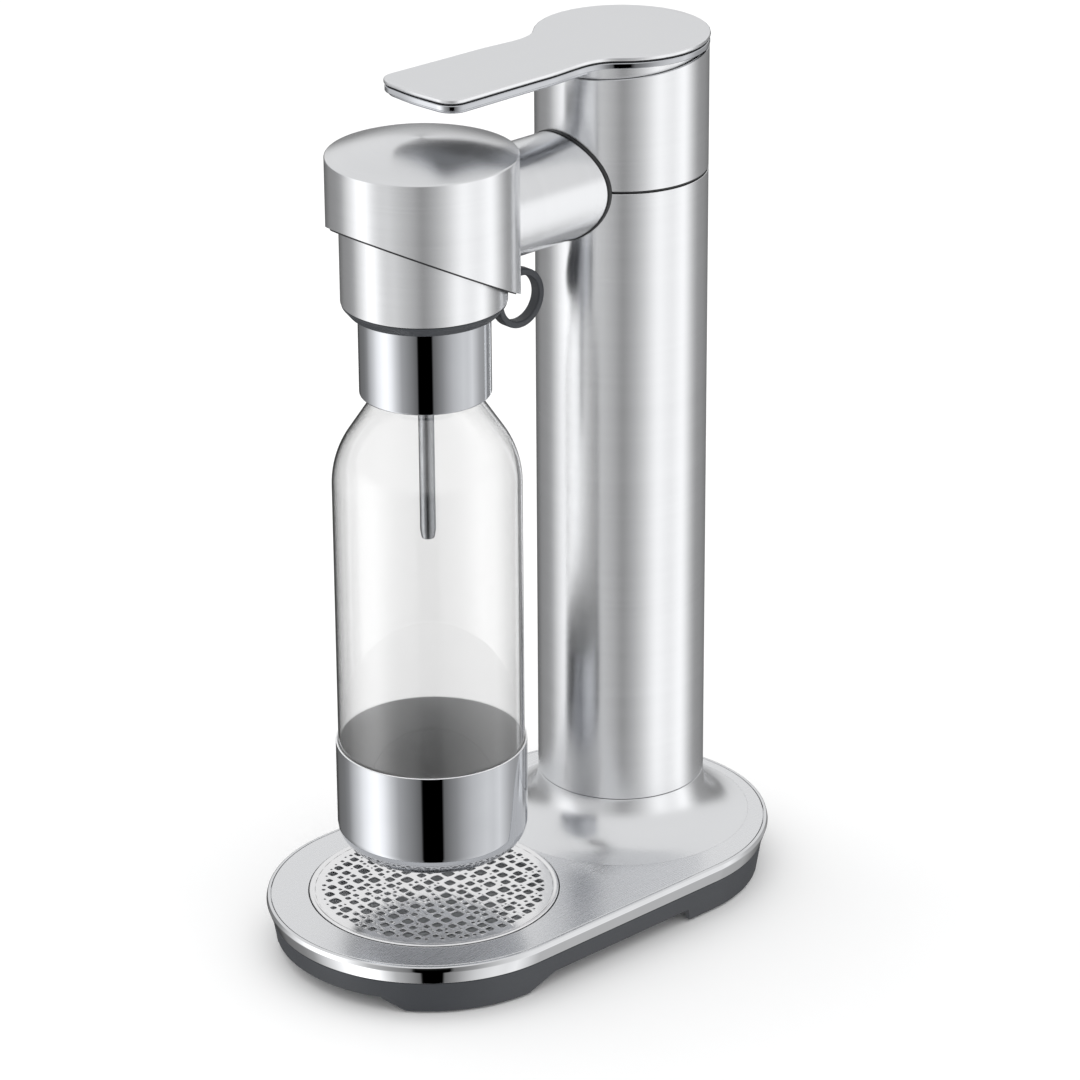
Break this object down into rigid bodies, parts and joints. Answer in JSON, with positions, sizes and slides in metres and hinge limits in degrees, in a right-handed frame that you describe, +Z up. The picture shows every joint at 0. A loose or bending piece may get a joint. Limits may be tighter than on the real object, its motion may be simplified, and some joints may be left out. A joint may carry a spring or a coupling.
{
  "type": "soda carbonator",
  "caption": "Countertop soda carbonator: metal tower and arm with a press lever, a hanging bottle, a cap with a pressure-release ring and a drip tray.",
  "frame": {"origin": "on the ground, under the middle of the base", "axes": "+Z up, -Y towards the bottle and the lever tip, X = 0 is the mirror plane"},
  "size_m": [0.1542, 0.2688, 0.4177],
  "materials": {
    "brushed_metal": "fine vertical brushed grain, satin",
    "satin_metal": "satin, very fine grain",
    "polished_metal": "mirror polished",
    "dark_plastic": "dark grey moulded plastic, fine spark texture",
    "black_plastic": "black moulded plastic",
    "rubber_black": "matt black rubber",
    "clear_bottle": "clear blown plastic, glossy",
    "brass": "turned brass",
    "plain_steel": "turned steel",
    "cast_aluminium": "cast and machined aluminium",
    "cylinder_paint": "grey enamelled aluminium"
  },
  "bodies": {
    "machine": {"base_cover": "brushed_metal", "base_trim": "polished_metal", "base_chassis": "dark_plastic", "foot_front_left": "rubber_black", "foot_front_right": "rubber_black", "foot_rear_left": "rubber_black", "foot_rear_right": "rubber_black", "frame_screw_1": "plain_steel", "frame_screw_2": "plain_steel", "frame_screw_3": "plain_steel", "frame_screw_4": "plain_steel", "tower_frame": "black_plastic", "tower_tube_lower": "brushed_metal", "tower_tube_upper": "brushed_metal", "tower_seam_ring": "black_plastic", "valve_block": "cast_aluminium", "plunger_spring": "plain_steel", "safety_valve": "brass", "pipe_nut_tower": "brass", "lever_yoke": "cast_aluminium", "lever_pin": "plain_steel", "arm_tube": "brushed_metal", "arm_gasket": "black_plastic", "arm_core": "cast_aluminium", "gas_pipe": "plain_steel", "arm_bolt_left": "plain_steel", "arm_bolt_right": "plain_steel", "head_cover": "brushed_metal", "head_frame": "black_plastic", "gas_nozzle": "brass", "nozzle_seal": "rubber_black", "pipe_nut_head": "brass"},
    "door": {"cylinder_door": "dark_plastic"},
    "gas_bottle": {"gas_cylinder": "cylinder_paint", "cylinder_valve": "brass"},
    "plunger": {"valve_plunger": "plain_steel"},
    "lever": {"lever_body": "polished_metal", "lever_seal": "black_plastic", "lever_cover": "satin_metal"},
    "cap": {"cap_body": "brushed_metal", "cap_ring": "dark_plastic", "cap_core": "black_plastic", "check_valve": "rubber_black", "carbonating_tube": "plain_steel", "bottle_seal": "rubber_black", "ring_pull_pin": "plain_steel", "relief_spring": "plain_steel"},
    "pull": {"ring_pull": "dark_plastic"},
    "poppet": {"relief_poppet": "plain_steel"},
    "bottle": {"bottle_body": "clear_bottle", "bottle_collar": "polished_metal", "bottle_cup": "polished_metal"},
    "tray": {"drip_bowl": "dark_plastic"},
    "grille": {"drip_grille": "polished_metal"}
  },
  "joints": [
    {"name": "lever_press", "type": "hinge", "parent": "machine", "child": "lever", "pos_m": [0, 0.0855, 0.4005], "axis": [1, 0, 0], "range_deg": [0, 5], "stiffness_Nm_per_rad": 10, "springref_deg": -5.73},
    {"name": "plunger_press", "type": "slide", "parent": "machine", "child": "plunger", "axis": [0, 0, -1], "range_m": [0, 0.0018], "deforming": ["plunger_spring"]},
    {"name": "cap_release", "type": "slide", "parent": "machine", "child": "cap", "axis": [0, 0, -1], "range_m": [0, 0.014]},
    {"name": "bottle_twist", "type": "hinge", "parent": "cap", "child": "bottle", "pos_m": [0, -0.0555, 0.3], "axis": [0, 0, 1], "range_deg": [0, 90]},
    {"name": "ring_pull_lift", "type": "hinge", "parent": "cap", "child": "pull", "pos_m": [0, -0.016, 0.312], "axis": [1, 0, 0], "range_deg": [0, 18], "stiffness_Nm_per_rad": 0.05, "springref_deg": -11.46},
    {"name": "relief_open", "type": "slide", "parent": "cap", "child": "poppet", "axis": [0, 0, -1], "range_m": [0, 0.0027], "deforming": ["relief_spring"]},
    {"name": "tray_lift", "type": "slide", "parent": "machine", "child": "tray", "axis": [0, 0, 1], "range_m": [0, 0.006]},
    {"name": "grille_lift", "type": "slide", "parent": "tray", "child": "grille", "axis": [0, 0, 1], "range_m": [0, 0.004]},
    {"name": "cylinder_unscrew", "type": "hinge", "parent": "machine", "child": "gas_bottle", "pos_m": [0, 0.0655, 0.2], "axis": [0, 0, 1], "range_deg": [0, 720]},
    {"name": "door_twist", "type": "hinge", "parent": "machine", "child": "door", "pos_m": [0, 0.0655, 0.008], "axis": [0, 0, 1], "range_deg": [0, 90]}
  ],
  "couplings": [
    {"joint": "plunger_press", "follows": "lever_press", "m_per_rad": 0.02},
    {"joint": "relief_open", "follows": "ring_pull_lift", "m_per_rad": 0.0083}
  ]
}
